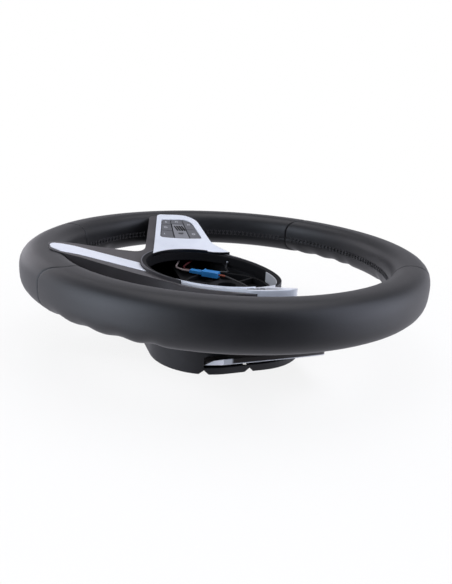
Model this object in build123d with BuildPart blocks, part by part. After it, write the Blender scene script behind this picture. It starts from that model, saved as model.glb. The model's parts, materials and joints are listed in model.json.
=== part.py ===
from build123d import *
from math import atan, cos, degrees, pi, radians, sin
import os

os.makedirs("parts", exist_ok=True)

# A car steering wheel without its airbag. +Z runs along the column towards the driver,
# +Y points to 12 o'clock and +X to 3 o'clock. The origin is the rear face of the hub bush.

# Rim
wheel_diameter = 370.0
rim_width = 34.0
rim_height = 38.0
rim_corner = 13.0
rim_plane_z = 62.0
top_seam_angle = 38.0
low_right_seam_angle = 23.0
low_left_seam_angle = 35.0
seam_gap = 0.4
rim_radius = (wheel_diameter - rim_width) / 2
rim_clearance = 0.1

# Armature
core_width = 14.0
core_height = 12.0
core_corner = 4.0
core_clearance = 0.2
hub_plate_radius = 43.0
hub_plate_z = 26.0
hub_plate_thickness = 6.0
hub_wall_height = 6.0
hub_wall = 3.0
hub_boss_radius = 17.0
hub_rib = 3.0
hub_rib_count = 6
hub_rib_start = 0.0
airbag_hole_radius = 3.5
airbag_hole_circle = 30.0
airbag_hole_count = 3
arm_knee_inset = 62.0
arm_knee_z = 35.5
arm_depth = 9.0
arm_groove_depth = 4.5
arm_groove_wall = 4.0
side_arm_width = 24.0
side_arm_y = -24.0
lower_arm_width = 26.0
arm_clearance = 0.6

# Hub bush
bush_radius = 12.0
bush_length = 30.0
pilot_radius = 9.0
pilot_length = 12.0
spline_tip_radius = 8.2
spline_teeth = 30

# Front frame, seen along the column
dish_depth = 28.1
dish_slope = 0.3025
dish_end_slope = 0.22
dish_knee_inset = 25.0
arm_end_inset = 22.0
tongue_inset = 11.0
tongue_low_y = -42.0
tongue_high_y = -6.0
tongue_drop = 9.3
side_top_y = 6.5
side_end_low_y = -45.5
side_top_corner = 22.0
side_low_corner = 8.0
root_x = 52.0
root_y = -71.0
root_fillet = 28.0
lower_tip_half = 16.5
lower_tip_inset = 3.0
lower_tip_corner = 13.0
hub_arc_x = 57.0
hub_arc_y = 25.0
hub_top_y = 50.0
shoulder_x = 80.0
shoulder_y = 10.0
shoulder_fillet = 25.0
frame_skin = 2.5
frame_wall = 3.4
frame_depth = 12.0
well_half_width = 66.5
well_half_height = 62.5
well_y = -16.5
well_flange = 2.5
well_flange_depth = 8.5
collar_width = 5.0
collar_rise = 3.4
collar_top_y = 0.0
strip_half_width = 14.5
strip_hub_y = -70.0
strip_tip_inset = 1.0
strip_tip_radius = 12.0
strip_rise = 0.5
strip_depth = 1.2
trim_clearance = 0.15

# Bezels
bezel_rise = 2.4
bezel_wall = 1.6
bezel_wall_depth = 9.0
bezel_low_x = 36.0
bezel_low_y = -66.3
bezel_end_low_y = -36.5
bezel_low_corner = 7.0
bezel_tip_x = 59.0
bezel_tip_y = 24.0

# Switch pads, measured in the plane of the pad
pad_y = -20.0
window_well_gap = 25.3
window_rim_gap = 32.5
window_inner_low_v = -26.0
window_outer_low_v = -14.3
window_outer_high_v = 19.5
window_inner_high_v = 22.0
window_lean = 1.6
window_corner = 3.0
window_high_corner = 13.0
low_divide_v = -6.9
low_divide_slope = 0.129
high_divide_v = 9.1
high_divide_slope = 0.026
low_inner_share = 0.39
low_outer_share = 0.71
mid_share = 0.75
high_share = 0.46
button_gap = 0.7
rocker_end_gap = 0.5
button_drop = 0.3
cap_thickness = 3.2
stem_side = 4.0
stem_clearance = 0.2
guide_top = -5.4
guide_thickness = 1.8
guide_margin = -0.5
guide_skirt = 1.2
stem_end = -7.9
dome_radius = 2.6
dome_top = -9.0
dome_taper = 12.0
mat_top = -10.6
mat_thickness = 1.2
board_thickness = 1.6
carrier_floor = 1.6
carrier_wall = 1.2
carrier_top = -3.0
carrier_clearance = 0.2
rocker_axis_n = -4.8
trunnion_radius = 1.2
trunnion_clearance = 0.05
trunnion_half = 6.6
rocker_web_half_u = 3.0
rocker_web_half_v = 3.2
ear_thickness = 1.8
ear_cap = 0.8
rocker_post_radius = 1.4
rocker_post_inset = 7.0
rocker_post_clearance = 0.8
rocker_rib_count = 4
rocker_rib_pitch = 2.8
rocker_rib_width = 1.5
rocker_rib_length = 11.0
rocker_rib_slant = -9.0
rocker_rib_u = 6.8
rocker_rib_v = 1.3
rocker_rib_rise = 0.4
rocker_mark_radius = 2.9
rocker_mark_u = -4.0

# Rear cover
rear_depth = 89.0
rear_slope = 0.46
rear_wall = 2.5
parting_gap = 0.3
bowl_half_width = 86.5
bowl_half_height = 72.0
bowl_y = -11.0
bowl_corner = 54.0
bowl_top_half_width = 94.0
bowl_top_half_height = 70.0
bowl_top_y = -15.0
bowl_top_corner = 62.0
bowl_bottom_z = -13.0
bowl_top_z = 20.0
column_hole_radius = 46.0
notch_width = 8.0
notch_depth = 4.0
notch_run = 16.0
notch_low_y = -48.0
notch_high_y = -8.0

# Shift paddles
paddle_pivot_x = 68.0
paddle_pivot_z = -4.5
paddle_inset = 34.0
paddle_knee_x = 80.0
paddle_rise = 29.0
paddle_low_y = -47.0
paddle_high_y = 42.0
paddle_thickness = 5.0
paddle_inner_thickness = 3.0
paddle_corner = 9.0
barrel_radius = 3.6
barrel_low_y = -38.0
barrel_high_y = 10.0
pin_radius = 1.5
pin_clearance = 0.05
bracket_ear = 4.0
bracket_gap = 0.4
bracket_base = 2.0
bracket_half_width = 6.0
slot_clearance = 1.6
paddle_swing = 5.0
ear_clearance = 0.8

# Fasteners
screw_radius = 2.0
screw_hole_clearance = 0.15
screw_head_radius = 3.6
screw_head_height = 2.4
screw_recess_clearance = 0.6
screw_boss_wall = 2.0
screw_bite = 11.0
boss_length = 5.0
screw_side_inset = 48.0
screw_lower_inset = 46.0

# Connector, leads and small pieces in the well
connector_x = -36.0
connector_y = -13.0
connector_angle = 50.0
plug_length = 14.5
plug_width = 6.4
plug_height = 3.2
plug_insert = 5.0
plug_clearance = 0.2
latch_length = 6.0
latch_width = 2.4
latch_height = 0.8
socket_length = 17.0
socket_wall = 1.0
socket_rib = 0.6
lead_radius = 1.0
lead_gap = 0.3
lead_run = 15.0
lead_depth = -12.5
white_lead_v = -6.0
red_lead_v = 12.0
lead_exit = 7.0
lead_rise = 3.5
bend_share = 0.45
white_turn = (-57.0, -37.0)
red_turn = (-59.0, -28.0)
orange_turn = (22.0, 16.0)
orange_far_turn = (52.0, 2.0)
spring_wire_radius = 1.1
spring_gap = 0.05
spring_tail_y = 7.0
spring_knee_y = 15.5
spring_knee_rise = 1.0
spring_tip_y = 19.5
spring_tip_rise = 8.0
plate_start_x = -8.5
plate_length = 46.0
plate_height = 15.0
plate_thickness = 0.8
plate_drop = 0.5

# Worked out from the sizes above
dish_angle = atan(dish_slope)
dish_apex_z = rim_plane_z - dish_depth
rear_apex_z = rim_plane_z - rear_depth
reach = rim_radius + rim_width
tall = rim_plane_z + 4 * rim_height
dish_knee_radius = rim_radius - dish_knee_inset
arm_knee_radius = rim_radius - arm_knee_inset
arm_end_x = rim_radius - arm_end_inset
tongue_start_x = arm_end_x - frame_wall
tongue_end_x = rim_radius - tongue_inset
tongue_x = (tongue_start_x + tongue_end_x) / 2
tongue_y = (tongue_low_y + tongue_high_y) / 2
lower_tip_y = lower_tip_inset - rim_radius
screw_side_x = rim_radius - screw_side_inset
screw_lower_y = screw_lower_inset - rim_radius
paddle_outer_radius = rim_radius - paddle_inset
window_in_x = well_half_width + window_well_gap
window_out_x = rim_radius - window_rim_gap
pad_x = (window_in_x + window_out_x) / 2
window_half = (window_out_x - window_in_x) / 2 / cos(dish_angle)
hub_floor_z = hub_plate_z + hub_plate_thickness
hub_top_z = hub_floor_z + hub_wall_height
board_bottom = mat_top - mat_thickness - board_thickness
bowl_floor_z = bowl_bottom_z + rear_wall


def dish_z(radius):
    # The dish is a cone that flattens near the rim
    past_knee = max(radius - dish_knee_radius, 0)
    return dish_apex_z + dish_slope * (radius - past_knee) + dish_end_slope * past_knee


def dish_points(lift):
    return [(radius, dish_z(radius) + lift) for radius in (0, dish_knee_radius, reach)]


def radial_plane(clock):
    # Upright plane through the column axis at an angle clockwise from 12 o'clock
    turn = radians(90 - clock)
    return Plane((0, 0, 0), x_dir=(cos(turn), sin(turn), 0), z_dir=(sin(turn), -cos(turn), 0))


def cone_band(low, high):
    # Solid of revolution between two heights over the dish
    with BuildPart() as band:
        with BuildSketch(Plane.XZ):
            with BuildLine():
                Polyline(*dish_points(low), *reversed(dish_points(high)), close=True)
            make_face()
        revolve(axis=Axis.Z)
    return band.part


def dish_block(plan, low, high):
    # What an outline seen along the column keeps of a band that follows the dish
    band = cone_band(low, high)
    with BuildPart() as block:
        add(band)
        with BuildSketch(Plane.XY.offset(-tall)):
            add(plan)
        extrude(amount=2 * tall, mode=Mode.INTERSECT)
    return block.part


def rim_ring(grow):
    # The whole rim section turned round the column, grown by a clearance
    with BuildPart() as ring:
        with BuildSketch(Plane.XZ):
            with Locations((rim_radius, rim_plane_z)):
                RectangleRounded(rim_width + 2 * grow, rim_height + 2 * grow, rim_corner + grow)
        revolve(axis=Axis.Z)
    return ring.part


def write(solid, name):
    solid.label = name
    export_step(solid, f"parts/{name}.step")


def write_pair(solid, name):
    # The 3 o'clock piece and its mirror image at 9 o'clock
    write(solid, f"{name}_right")
    with BuildPart() as other:
        mirror(solid, about=Plane.YZ)
    write(other.part, f"{name}_left")


rim_envelope = rim_ring(rim_clearance)

# Outline of the hub and spokes, seen along the column
with BuildSketch() as plan:
    with BuildLine():
        FilletPolyline(
            (hub_arc_x, hub_arc_y),
            (shoulder_x, shoulder_y),
            (arm_end_x, side_top_y),
            (arm_end_x, side_end_low_y),
            (root_x, root_y),
            (lower_tip_half, lower_tip_y),
            (-lower_tip_half, lower_tip_y),
            (-root_x, root_y),
            (-arm_end_x, side_end_low_y),
            (-arm_end_x, side_top_y),
            (-shoulder_x, shoulder_y),
            (-hub_arc_x, hub_arc_y),
            radius=[
                shoulder_fillet, side_top_corner, side_low_corner, root_fillet, lower_tip_corner,
                lower_tip_corner, root_fillet, side_low_corner, side_top_corner, shoulder_fillet,
            ],
        )
        ThreePointArc((-hub_arc_x, hub_arc_y), (0, hub_top_y), (hub_arc_x, hub_arc_y))
    make_face()

with BuildSketch() as frame_hollow_plan:
    add(plan.sketch)
    offset(amount=-frame_wall)

# Tongues by which the side spokes reach into the rim
with BuildSketch() as tongue_plan:
    with Locations((tongue_x, tongue_y), (-tongue_x, tongue_y)):
        Rectangle(tongue_end_x - tongue_start_x, tongue_high_y - tongue_low_y)

with BuildSketch() as rear_plan:
    add(plan.sketch)
    add(tongue_plan.sketch)

with BuildSketch() as rear_hollow_plan:
    add(rear_plan.sketch)
    offset(amount=-rear_wall)

with BuildSketch() as well_plan:
    with Locations((0, well_y)):
        Ellipse(well_half_width, well_half_height)

with BuildSketch() as flange_plan:
    with Locations((0, well_y)):
        Ellipse(well_half_width + well_flange, well_half_height + well_flange)
        Ellipse(well_half_width, well_half_height, mode=Mode.SUBTRACT)

with BuildSketch() as collar_plan:
    with Locations((0, well_y)):
        Ellipse(well_half_width + collar_width, well_half_height + collar_width)
        Ellipse(well_half_width, well_half_height, mode=Mode.SUBTRACT)
    with Locations((0, collar_top_y)):
        Rectangle(2 * reach, reach, align=(Align.CENTER, Align.MAX), mode=Mode.INTERSECT)


def strip_plan(grow):
    with BuildSketch() as strip:
        with Locations((0, strip_hub_y)):
            Rectangle(
                2 * (strip_half_width + grow),
                strip_hub_y - lower_tip_y - strip_tip_inset + grow,
                align=(Align.CENTER, Align.MAX),
            )
        fillet(strip.vertices().group_by(Axis.Y)[0], radius=strip_tip_radius)
        with Locations((0, well_y)):
            Ellipse(
                well_half_width + collar_width + trim_clearance - grow,
                well_half_height + collar_width + trim_clearance - grow,
                mode=Mode.SUBTRACT,
            )
    return strip.sketch


def bezel_area(grow):
    # The share of the hub and side spoke that the 3 o'clock bezel covers
    with BuildSketch() as area:
        with BuildLine():
            Polyline(
                (bezel_low_x, bezel_low_y),
                (arm_end_x, bezel_end_low_y),
                (arm_end_x, hub_top_y),
                (bezel_tip_x, hub_top_y),
                (bezel_tip_x, bezel_tip_y),
                (well_half_width, well_y),
                (bezel_low_x, well_y),
                close=True,
            )
        make_face()
        end_corner = area.vertices().sort_by_distance((arm_end_x, bezel_end_low_y))[0]
        fillet(end_corner, radius=bezel_low_corner)
        if grow:
            offset(amount=grow)
    return area.sketch


def bezel_plan(grow):
    area = bezel_area(grow)
    with BuildSketch() as bezel:
        add(plan.sketch)
        add(area, mode=Mode.INTERSECT)
        add(well_plan.sketch, mode=Mode.SUBTRACT)
    return bezel.sketch


def bezel_wall_plan(grow):
    cover = bezel_plan(grow)
    with BuildSketch() as inner:
        add(plan.sketch)
        offset(amount=-bezel_wall - grow)
    with BuildSketch() as wall:
        add(cover)
        add(inner.sketch, mode=Mode.SUBTRACT)
    return wall.sketch


# The collar round the well is split between the frame at 6 o'clock and the bezels
bezel_share = bezel_area(trim_clearance)
bezel_side = bezel_area(0)
with BuildSketch() as lip_plan:
    add(collar_plan.sketch)
    add(bezel_share, mode=Mode.SUBTRACT)
    mirror(bezel_share, about=Plane.YZ, mode=Mode.SUBTRACT)
with BuildSketch() as bezel_collar_plan:
    add(collar_plan.sketch)
    add(bezel_side, mode=Mode.INTERSECT)


# Plane of the 3 o'clock switch pad, tangent to the dish
pad = Plane(
    (pad_x, pad_y, dish_z(pad_x)),
    x_dir=(cos(dish_angle), 0, sin(dish_angle)),
    z_dir=(-sin(dish_angle), 0, cos(dish_angle)),
)


def window_sketch(grow):
    # The button window in the pad's own plane, grown or shrunk
    with BuildSketch() as window:
        with BuildLine():
            FilletPolyline(
                (-window_half, window_inner_low_v),
                (window_half - window_lean, window_outer_low_v),
                (window_half, window_outer_high_v),
                (-window_half, window_inner_high_v),
                radius=[window_corner, window_corner, window_high_corner, window_corner],
                close=True,
            )
        make_face()
        if grow:
            offset(amount=grow)
    return window.sketch


def low_divide(u):
    return low_divide_v + low_divide_slope * u


def high_divide(u):
    return high_divide_v + high_divide_slope * u


def floor_line(u):
    return window_inner_low_v


def ceiling_line(u):
    return window_inner_high_v


def along_window(share):
    return (2 * share - 1) * window_half


# Each key: the lines under and over its cell, and the ends of the cell along the window
key_cells = {
    "lower_inner": (floor_line, low_divide, 0, low_inner_share),
    "lower_middle": (floor_line, low_divide, low_inner_share, low_outer_share),
    "lower_outer": (floor_line, low_divide, low_outer_share, 1),
    "centre_outer": (low_divide, high_divide, mid_share, 1),
    "upper_inner": (high_divide, ceiling_line, 0, high_share),
    "upper_outer": (high_divide, ceiling_line, high_share, 1),
    "rocker": (low_divide, high_divide, 0, mid_share),
}


def key_sketch(key, end_gap=0.0):
    under, over, start_share, stop_share = key_cells[key]
    start = along_window(start_share)
    stop = along_window(stop_share)
    window = window_sketch(-button_gap)
    with BuildSketch() as cell:
        with BuildLine():
            Polyline(
                (start, under(start)), (stop, under(stop)), (stop, over(stop)), (start, over(start)),
                close=True,
            )
        make_face()
        offset(amount=-button_gap / 2)
        add(window, mode=Mode.INTERSECT)
        if end_gap:
            offset(amount=-end_gap)
    return cell.sketch


def dish_rise(u, v):
    # Height of the dish over the pad's plane, square to the plane
    spot = pad.from_local_coords((u, v, 0))
    return (dish_z((spot.X**2 + spot.Y**2) ** 0.5) - spot.Z) * cos(dish_angle)


key_faces = {}
key_centres = {}
for key in key_cells:
    key_faces[key] = key_sketch(key, rocker_end_gap if key == "rocker" else 0.0)
    spot = key_faces[key].faces()[0].center()
    key_centres[key] = (spot.X, spot.Y)
rocker_u, rocker_v = key_centres["rocker"]
dome_spots = [key_centres[key] for key in key_cells if key != "rocker"]
rocker_post_spread = mid_share * window_half - rocker_post_inset
rocker_spots = [(rocker_u - rocker_post_spread, rocker_v), (rocker_u + rocker_post_spread, rocker_v)]
cap_top = bezel_rise - button_drop
cap_band = cone_band(cap_top - cap_thickness, cap_top)

# Armature: hub plate, three grooved arms and the ring inside the rim, one casting


def arm_profile(depth, top_extra, start):
    # Side view of an arm, from the hub out to the rim ring
    return (
        (start, hub_floor_z - depth),
        (arm_knee_radius, arm_knee_z + arm_depth / 2 - depth),
        (rim_radius, rim_plane_z + arm_depth / 2 - depth),
        (rim_radius, rim_plane_z + arm_depth / 2 + top_extra),
        (arm_knee_radius, arm_knee_z + arm_depth / 2 + top_extra),
        (start, hub_floor_z + top_extra),
    )


arm_planes = {
    "right": (Plane.XZ.offset(-side_arm_y), side_arm_width),
    "left": (Plane((0, side_arm_y, 0), x_dir=(-1, 0, 0), z_dir=(0, 1, 0)), side_arm_width),
    "lower": (Plane((0, 0, 0), x_dir=(0, -1, 0), z_dir=(-1, 0, 0)), lower_arm_width),
}
screw_spots = [(screw_side_x, side_arm_y), (-screw_side_x, side_arm_y), (0, screw_lower_y)]

with BuildPart() as armature:
    with BuildSketch(Plane.XZ):
        with Locations((rim_radius, rim_plane_z)):
            RectangleRounded(core_width, core_height, core_corner)
    revolve(axis=Axis.Z)
    for arm_plane, width in arm_planes.values():
        with BuildSketch(arm_plane):
            with BuildLine():
                Polyline(*arm_profile(arm_depth, 0, hub_boss_radius), close=True)
            make_face()
        extrude(amount=width / 2, both=True)
        with BuildSketch(arm_plane):
            with BuildLine():
                Polyline(
                    *[
                        (min(max(r, hub_plate_radius + hub_wall), rim_radius - rim_width / 2), z)
                        for r, z in arm_profile(arm_groove_depth, rim_height, hub_plate_radius)
                    ],
                    close=True,
                )
            make_face()
        extrude(amount=width / 2 - arm_groove_wall, both=True, mode=Mode.SUBTRACT)
    with BuildSketch(Plane.XY.offset(hub_plate_z)):
        Circle(hub_plate_radius)
    extrude(amount=hub_plate_thickness)
    with BuildSketch(Plane.XY.offset(hub_floor_z)):
        Circle(hub_plate_radius)
        Circle(hub_plate_radius - hub_wall, mode=Mode.SUBTRACT)
        with PolarLocations(hub_plate_radius / 2, hub_rib_count, start_angle=hub_rib_start):
            Rectangle(hub_plate_radius - hub_wall / 2, hub_rib)
    extrude(amount=hub_wall_height)
    with BuildSketch():
        Circle(hub_boss_radius)
    extrude(amount=hub_top_z)
    with BuildSketch(Plane.XY.offset(hub_floor_z)):
        with PolarLocations(airbag_hole_circle, airbag_hole_count, start_angle=-90):
            Circle(airbag_hole_radius)
    extrude(amount=-arm_depth, mode=Mode.SUBTRACT)
    with BuildSketch():
        Circle(bush_radius)
    extrude(amount=bush_length, mode=Mode.SUBTRACT)
    with BuildSketch(Plane.XY.offset(bush_length)):
        Circle(pilot_radius)
    extrude(amount=tall, mode=Mode.SUBTRACT)
    with BuildSketch():
        with Locations(*screw_spots):
            Circle(screw_radius + screw_hole_clearance)
    extrude(amount=tall, mode=Mode.SUBTRACT)
write(armature.part, "armature")

# Steel bush with a plain pilot and a splined length
spline_points = []
for step in range(2 * spline_teeth):
    tooth_radius = pilot_radius if step % 2 else spline_tip_radius
    tooth_turn = pi * step / spline_teeth
    spline_points.append((tooth_radius * cos(tooth_turn), tooth_radius * sin(tooth_turn)))
with BuildPart() as hub_bush:
    with BuildSketch():
        Circle(bush_radius)
    extrude(amount=bush_length)
    with BuildSketch():
        Circle(pilot_radius)
    extrude(amount=pilot_length, mode=Mode.SUBTRACT)
    with BuildSketch(Plane.XY.offset(pilot_length)):
        with BuildLine():
            Polyline(*spline_points, close=True)
        make_face()
    extrude(amount=bush_length, mode=Mode.SUBTRACT)
write(hub_bush.part, "hub_bush")



def arm_block(arm):
    # The room that an arm takes up, with clearance all round
    arm_plane, width = arm_planes[arm]
    with BuildPart() as block:
        with BuildSketch(arm_plane):
            with BuildLine():
                Polyline(
                    *arm_profile(arm_depth + arm_clearance, arm_clearance, hub_boss_radius), close=True
                )
            make_face()
        extrude(amount=width / 2 + arm_clearance, both=True)
    return block.part


arm_passages = {arm: arm_block(arm) for arm in arm_planes}

# Leather rim in four panels, each with the channel of the ring and the pockets of the arms
panel_spans = {
    "top": (-top_seam_angle, top_seam_angle),
    "right": (top_seam_angle, 180 - low_right_seam_angle),
    "bottom": (180 - low_right_seam_angle, 180 + low_left_seam_angle),
    "left": (180 + low_left_seam_angle, 360 - top_seam_angle),
}
seam_angle = degrees(seam_gap / rim_radius)
for panel, (start, stop) in panel_spans.items():
    with BuildPart() as rim_panel:
        with BuildSketch(radial_plane(stop - seam_angle / 2)):
            with Locations((rim_radius, rim_plane_z)):
                RectangleRounded(rim_width, rim_height, rim_corner)
                RectangleRounded(
                    core_width + 2 * core_clearance,
                    core_height + 2 * core_clearance,
                    core_corner + core_clearance,
                    mode=Mode.SUBTRACT,
                )
        revolve(axis=Axis.Z, revolution_arc=stop - start - seam_angle)
        pocket_key = "lower" if panel == "bottom" else panel
        if pocket_key in arm_passages:
            add(arm_passages[pocket_key], mode=Mode.SUBTRACT)
    write(rim_panel.part, f"rim_panel_{panel}")

# Front frame: one moulded shell with three arms, the flange and lip of the airbag well
frame_block = dish_block(plan.sketch, -frame_depth, 0)
frame_hollow = dish_block(frame_hollow_plan.sketch, -frame_depth - frame_skin, -frame_skin)
flange_block = dish_block(flange_plan.sketch, -well_flange_depth, 0)
lip_block = dish_block(lip_plan.sketch, -frame_skin, collar_rise)
tongue_block = dish_block(tongue_plan.sketch, -frame_depth, -tongue_drop)
strip_recess = dish_block(strip_plan(trim_clearance), -strip_depth, frame_skin)
wall_recess = dish_block(
    bezel_wall_plan(trim_clearance), -bezel_wall_depth - trim_clearance, frame_skin
)
window_cut = window_sketch(button_gap)
with BuildPart() as window_tool:
    with BuildSketch(pad):
        add(window_cut)
    extrude(amount=frame_depth, both=True)
with BuildPart() as front_frame:
    add(frame_block)
    add(frame_hollow, mode=Mode.SUBTRACT)
    with BuildSketch():
        add(well_plan.sketch)
    extrude(amount=tall, mode=Mode.SUBTRACT)
    add(flange_block)
    add(lip_block)
    add(tongue_block)
    add(strip_recess, mode=Mode.SUBTRACT)
    add(wall_recess, mode=Mode.SUBTRACT)
    mirror(wall_recess, about=Plane.YZ, mode=Mode.SUBTRACT)
    add(window_tool.part, mode=Mode.SUBTRACT)
    mirror(window_tool.part, about=Plane.YZ, mode=Mode.SUBTRACT)
    add(rim_envelope, mode=Mode.SUBTRACT)
write(front_frame.part, "front_frame")

# Bright strip let into the lower spoke
strip_block = dish_block(strip_plan(0), -strip_depth, strip_rise)
with BuildPart() as lower_strip:
    add(strip_block)
    add(rim_envelope, mode=Mode.SUBTRACT)
write(lower_strip.part, "lower_strip")

# Bright bezel round each switch pad, with a wall down its outer edge
bezel_block = dish_block(bezel_plan(0), 0, bezel_rise)
bezel_wall_block = dish_block(bezel_wall_plan(0), -bezel_wall_depth, bezel_rise)
bezel_collar_block = dish_block(bezel_collar_plan.sketch, 0, collar_rise)
window_face = window_sketch(0)
with BuildPart() as bezel:
    add(bezel_block)
    add(bezel_wall_block)
    add(bezel_collar_block)
    with BuildSketch(pad):
        add(window_face)
    extrude(amount=frame_depth, both=True, mode=Mode.SUBTRACT)
    add(rim_envelope, mode=Mode.SUBTRACT)
write_pair(bezel.part, "bezel")

# Keys of the 3 o'clock pad: caps that follow the dish, each on a square stem
for key in key_cells:
    if key == "rocker":
        continue
    with BuildPart() as button:
        add(cap_band)
        with BuildSketch(pad):
            add(key_faces[key])
        extrude(amount=frame_depth, both=True, mode=Mode.INTERSECT)
        with BuildSketch(pad.offset(stem_end)):
            with Locations(key_centres[key]):
                Rectangle(stem_side, stem_side)
        extrude(amount=cap_top - cap_thickness / 2 + dish_rise(*key_centres[key]) - stem_end)
    write_pair(button.part, f"button_{key}")

# Rocker with four slanted ribs, a half-round mark, trunnions and two posts
with BuildSketch() as rocker_mark:
    with Locations((rocker_u + rocker_mark_u, rocker_v)):
        Circle(rocker_mark_radius)
        Rectangle(
            rocker_mark_radius, 2 * rocker_mark_radius, align=(Align.MAX, Align.CENTER),
            mode=Mode.INTERSECT,
        )
with BuildPart() as rocker:
    add(cap_band)
    with BuildSketch(pad):
        add(key_faces["rocker"])
    extrude(amount=frame_depth, both=True, mode=Mode.INTERSECT)
    with BuildSketch(pad.offset(cap_top - cap_thickness / 2 + dish_rise(rocker_u, rocker_v))):
        with Locations((rocker_u + rocker_rib_u, rocker_v + rocker_rib_v)):
            with GridLocations(0, rocker_rib_pitch, 1, rocker_rib_count):
                SlotOverall(rocker_rib_length, rocker_rib_width, rotation=rocker_rib_slant)
        add(rocker_mark.sketch)
    extrude(amount=cap_thickness / 2 + rocker_rib_rise)
    with BuildSketch(pad.offset(rocker_axis_n - trunnion_radius)):
        with Locations((rocker_u, rocker_v)):
            Rectangle(2 * rocker_web_half_u, 2 * rocker_web_half_v)
    extrude(amount=trunnion_radius - rocker_axis_n)
    with BuildSketch(pad.offset(stem_end)):
        with Locations(*rocker_spots):
            Circle(rocker_post_radius)
    extrude(amount=-stem_end)
    with Locations(pad.location * Location((rocker_u, rocker_v, rocker_axis_n), (90, 0, 0))):
        Cylinder(trunnion_radius, 2 * trunnion_half)
write_pair(rocker.part, "rocker")

# Guide plate that holds the stems and the rocker's trunnions
guide_bottom = guide_top - guide_thickness
guide_face = window_sketch(guide_margin)
guide_bore_face = window_sketch(guide_margin - guide_skirt)
ear_bore = trunnion_radius + trunnion_clearance
ear_height = rocker_axis_n + ear_bore + ear_cap - guide_top
ear_offset = trunnion_half - ear_thickness / 2
with BuildPart() as guide:
    with BuildSketch(pad.offset(guide_top)):
        add(guide_face)
    extrude(amount=-guide_thickness)
    with BuildSketch(pad.offset(guide_bottom)):
        add(guide_face)
        add(guide_bore_face, mode=Mode.SUBTRACT)
    extrude(amount=mat_top - guide_bottom)
    with BuildSketch(pad.offset(guide_top)):
        with Locations((rocker_u, rocker_v - ear_offset), (rocker_u, rocker_v + ear_offset)):
            Rectangle(2 * (ear_bore + ear_cap), ear_thickness)
    extrude(amount=ear_height)
    with BuildSketch(pad.offset(guide_top)):
        with Locations(*dome_spots):
            Rectangle(stem_side + 2 * stem_clearance, stem_side + 2 * stem_clearance)
        with Locations(*rocker_spots):
            Circle(rocker_post_radius + rocker_post_clearance)
        with Locations((rocker_u, rocker_v)):
            Rectangle(
                2 * (rocker_web_half_u + rocker_post_clearance),
                2 * (rocker_web_half_v + stem_clearance),
            )
    extrude(amount=-guide_thickness, mode=Mode.SUBTRACT)
    with Locations(pad.location * Location((rocker_u, rocker_v, rocker_axis_n), (90, 0, 0))):
        Cylinder(ear_bore, 4 * trunnion_half, mode=Mode.SUBTRACT)
write_pair(guide.part, "button_guide")

# Rubber mat with a dome under each stem and post
with BuildPart() as dome_mat:
    with BuildSketch(pad.offset(mat_top)):
        add(guide_face)
    extrude(amount=-mat_thickness)
    with BuildSketch(pad.offset(mat_top)):
        with Locations(*dome_spots, *rocker_spots):
            Circle(dome_radius)
    extrude(amount=dome_top - mat_top, taper=dome_taper)
write_pair(dome_mat.part, "dome_mat")

# Switch board under the mat
with BuildPart() as board:
    with BuildSketch(pad.offset(board_bottom)):
        add(guide_face)
    extrude(amount=board_thickness)
write_pair(board.part, "switch_board")

# Carrier tray that takes board, mat and guide
tray_bottom = board_bottom - carrier_floor
tray_face = window_sketch(guide_margin + carrier_clearance + carrier_wall)
tray_bore = window_sketch(guide_margin + carrier_clearance)
with BuildPart() as carrier:
    with BuildSketch(pad.offset(tray_bottom)):
        add(tray_face)
    extrude(amount=carrier_top - tray_bottom)
    with BuildSketch(pad.offset(board_bottom)):
        add(tray_bore)
    extrude(amount=frame_depth, mode=Mode.SUBTRACT)
write_pair(carrier.part, "switch_carrier")

# Rear cover: a bowl round the column and shells behind the three spokes


def bowl(shrink, bottom, top):
    with BuildPart() as body:
        with BuildSketch(Plane.XY.offset(bottom)):
            with Locations((0, bowl_y)):
                RectangleRounded(
                    2 * (bowl_half_width - shrink), 2 * (bowl_half_height - shrink), bowl_corner - shrink
                )
        with BuildSketch(Plane.XY.offset(top)):
            with Locations((0, bowl_top_y)):
                RectangleRounded(
                    2 * (bowl_top_half_width - shrink),
                    2 * (bowl_top_half_height - shrink),
                    bowl_top_corner - shrink,
                )
        loft(ruled=True)
    return body.part


def rear_block(outline, lift, high):
    apex = rear_apex_z + lift
    with BuildPart() as block:
        with BuildSketch(Plane.XZ):
            with BuildLine():
                Polyline(
                    (0, apex), (reach, apex + rear_slope * reach), *reversed(dish_points(high)), close=True
                )
            make_face()
        revolve(axis=Axis.Z)
        with BuildSketch(Plane.XY.offset(-tall)):
            add(outline)
        extrude(amount=2 * tall, mode=Mode.INTERSECT)
    return block.part


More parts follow.
